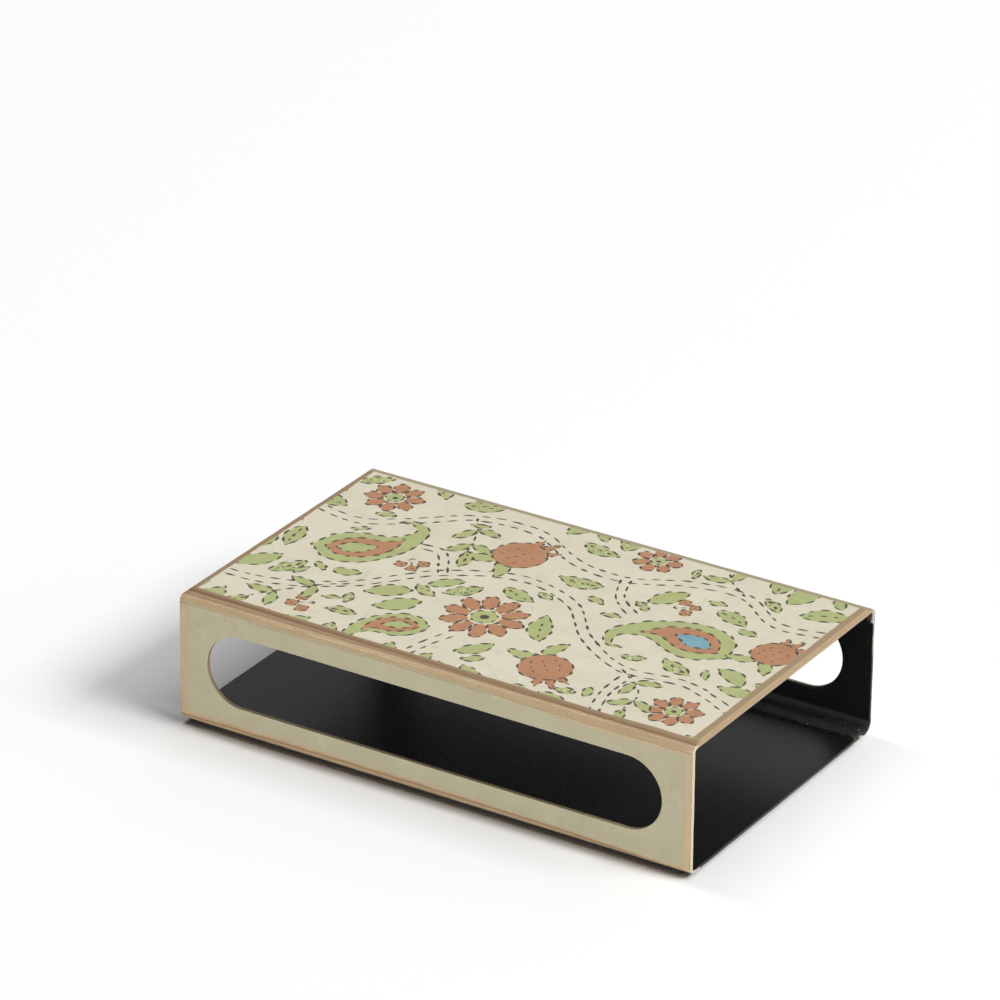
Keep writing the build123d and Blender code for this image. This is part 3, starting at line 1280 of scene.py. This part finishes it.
def ink_finish(name, ink=None, pinholes=0.0):
    """An ink is two tones of its colour, where it lies thin and where it lies thick."""
    finish = Finish(name, specular=0.4)
    colour, height = pulp(finish, cream, cream_light, cream_dark, seed=120)
    if ink:
        thin, thick = ink
        density = finish.patches(3.5, 131, detail=4, rough=0.65)
        grain = finish.patches(0.28, 132, detail=1)
        holes = finish.patches(0.5, 133, detail=3, rough=0.8).ramp(0.62, 0.66)
        holes *= finish.patches(7, 134, detail=2).ramp(0.62 - pinholes, 0.66)
        tone = finish.coat(thin).lay(thick, density.ramp(0.42, 0.7))
        colour = colour.lay(tone.lay(thick, grain.ramp(0.56, 0.7), 0.5), 0.94 - holes)
    waver = finish.waver(7, 140, detail=5)
    x, y = waver * 0.7 + finish.x, waver * 0.7 + finish.y
    leaning = finish.x * border_lean + y - finish.x.ramp(36, 46) * 0.45
    right = x.ramp(border_right - border_soft, border_right + border_soft)
    left = x.ramp(border_soft - border_left, -border_left - border_soft)
    ahead = leaning.ramp(border_front + border_soft, border_front - border_soft)
    behind = y.ramp(border_rear - border_soft, border_rear + border_soft)
    # the outermost strip of the right border is left paler than the rest: a painted highlight along
    # the roof's end
    inner = finish.x.ramp(half_length - 0.6, half_length - 0.9)
    band, _ = tan_paint(finish, finish.y, finish.x, seed=150)
    band = band.lay(tan_deep, right * inner, 0.95).lay(tan_deep, left | ahead, 0.9)
    band = band.lay(glaze_brown, left, 0.3).lay(paint(160, 149, 122), behind, 0.85)
    colour = colour.lay(band, right | left | ahead | behind)
    colour = fold_glaze(colour, finish.x, finish.y - print_low.y)
    return finish.done(colour, finish.patches(2, 141, detail=3) * 0.2 + 0.35, height, depth=0.018)


inks = [
    ink_finish("cream fibre paper"),
    ink_finish("leaf green ink", (paint(173, 181, 119), paint(162, 171, 108)), 0.1),
    ink_finish("terracotta ink", (paint(182, 126, 88), paint(171, 115, 78)), 0.16),
    ink_finish("blue ink", (paint(114, 166, 180), paint(102, 154, 168)), 0.05),
    ink_finish("charcoal stitch ink", (paint(62, 54, 41), paint(49, 44, 37)), 0.14),
]
dress(printed, "top_print", "printed_paper", *inks)

# %% [markdown]
# ## Floor and light
# The holder stands on a pale floor under two soft lamps that hang high up. A broad one at
# the right throws the shadow to the left. A long strip overhead is narrow from front to
# rear, so the floor close under the front edge stays dark. A surround adds a little from
# the rear and the right, and the camera sees it as plain white. Each of the three has its
# share of the light on a level surface, and the shares add up to one, so that a colour
# renders about as it is written. The front wall gets too little of all this, so a low white
# card in front throws light on the holder, and only on it.

# %% Floor and surround
floor_reach = 1.6
floor_grey = 0.86


def make_floor():
    """A matt floor that the camera sees as white, and other light as pale grey."""
    corners = [(-1, -1, 0), (1, -1, 0), (1, 1, 0), (-1, 1, 0)]
    mesh = bpy.data.meshes.new("floor")
    mesh.from_pydata([Vector(corner) * floor_reach for corner in corners], [], [(0, 1, 2, 3)])
    material = bpy.data.materials.new("matt white floor")
    material.use_nodes = True
    tree = material.node_tree
    tree.nodes.clear()
    seen = add_node(tree, "LightPath").outputs["Is Camera Ray"]
    shade = add_node(tree, "Mix", {0: seen, 6: [floor_grey] * 3 + [1], 7: [1] * 4},
                     data_type="RGBA")
    matt = add_node(tree, "BsdfDiffuse", {"Color": shade.outputs[2]})
    add_node(tree, "OutputMaterial", {"Surface": matt.outputs[0]})
    mesh.materials.append(material)
    add_object("floor", mesh)


def make_surround(bright, towards, start, full):
    """Light from one side: none below `start` of the way towards it, all of it at `full`."""
    world = bpy.data.worlds.new("white surround")
    world.use_nodes = True
    bpy.context.scene.world = world
    tree = world.node_tree
    direction = add_node(tree, "TexCoord").outputs["Generated"]
    facing = add_node(tree, "VectorMath",
                      {0: direction, 1: Vector(towards).normalized()}, operation="DOT_PRODUCT")
    glow = add_node(tree, "MapRange", {
        "Value": facing.outputs["Value"], "From Min": start, "From Max": full, "To Max": bright,
    }, interpolation_type="SMOOTHSTEP")
    seen = add_node(tree, "LightPath").outputs["Is Camera Ray"]
    level = add_node(tree, "Mix", {"Factor": seen, "A": glow.outputs[0], "B": 1.0})
    background = tree.nodes["Background"]
    background.inputs["Color"].default_value = (1, 1, 1, 1)
    tree.links.new(level.outputs[0], background.inputs["Strength"])


make_floor()
make_surround(bright=0.5, towards=(0.55, 0.84, 0.02), start=0.0, full=0.46)

# %% Lamps
lamp_height = 6.0


def make_lamp(name, place, aim, size, power):
    """A rectangular lamp that faces the point `aim`."""
    data = bpy.data.lights.new(name, "AREA")
    data.shape = "RECTANGLE"
    data.size, data.size_y = size
    data.energy = power
    # with both ways of sampling a lamp, a card that lights some things only upsets the rest
    data.cycles.use_multiple_importance_sampling = False
    lamp = add_object(name, data)
    lamp.location = place
    lamp.rotation_euler = (Vector(aim) - Vector(place)).to_track_quat("-Z", "Y").to_euler()
    return lamp


def hang_lamp(name, left, right, ahead, behind, share):
    """A level lamp, its four edges given in lamp heights and its share of full light."""
    fine = 24
    across = [left + (right - left) * (i + 0.5) / fine for i in range(fine)]
    along = [ahead + (behind - ahead) * (i + 0.5) / fine for i in range(fine)]
    reach = sum(1 / (1 + x * x + y * y) ** 2 for x in across for y in along) / fine**2
    power = share * (math.pi * lamp_height) ** 2 / reach
    x, y = (left + right) / 2 * lamp_height, (ahead + behind) / 2 * lamp_height
    size = ((right - left) * lamp_height, (behind - ahead) * lamp_height)
    make_lamp(name, (x, y, lamp_height), (x, y, 0), size, power)
    print(f"{name}: {power:.0f} W")


hang_lamp("broad lamp at the right", left=0.78, right=1.5, ahead=-0.28, behind=0.55, share=0.42)
hang_lamp("long strip overhead", left=-0.66, right=1.2, ahead=0.01, behind=0.1, share=0.4)
front_card = make_lamp("white card in front", place=(0.15, -1.0, 0.1), aim=(0, 0, 0.01),
                       size=(0.9, 0.2), power=6.2)
holder = bpy.data.collections.new("holder")
for piece in (sleeve, solder, *side_papers, card, printed):
    holder.objects.link(piece)
front_card.light_linking.receiver_collection = holder

# %% [markdown]
# ## The camera
# A long lens that looks down at 26 degrees from the front right. The angles, the distance
# and where the base's middle falls in the picture were fitted to the straight edges of the
# object in a square picture of a thousand pixels, so they are numbers with decimals.

# %% Camera
picture = 1000
focal_pixels = 6092.7
azimuth, elevation, tilt = (math.radians(a) for a in (32.006, 25.825, 0.448))
distance = 1.13162
middle_right, middle_down = 25.76, 228.92

back = Vector((math.sin(azimuth) * math.cos(elevation),
               -math.cos(azimuth) * math.cos(elevation), math.sin(elevation)))
level_right = Vector((math.cos(azimuth), math.sin(azimuth), 0))
level_up = back.cross(level_right)
right = math.cos(tilt) * level_right + math.sin(tilt) * level_up
up = math.cos(tilt) * level_up - math.sin(tilt) * level_right
lens_data = bpy.data.cameras.new("camera")
lens_data.sensor_width = 36
lens_data.lens = focal_pixels / picture * lens_data.sensor_width
lens_data.clip_start = 0.05
camera = add_object("camera", lens_data)
spot = back * distance + (up * middle_down - right * middle_right) * distance / focal_pixels
camera.matrix_world = Matrix.Translation(spot) @ Matrix((right, up, back)).transposed().to_4x4()
bpy.context.scene.camera = camera
bpy.context.scene.view_settings.view_transform = "Standard"
print(f"lens {lens_data.lens:.1f} mm, {camera.location.length:.3f} m away")
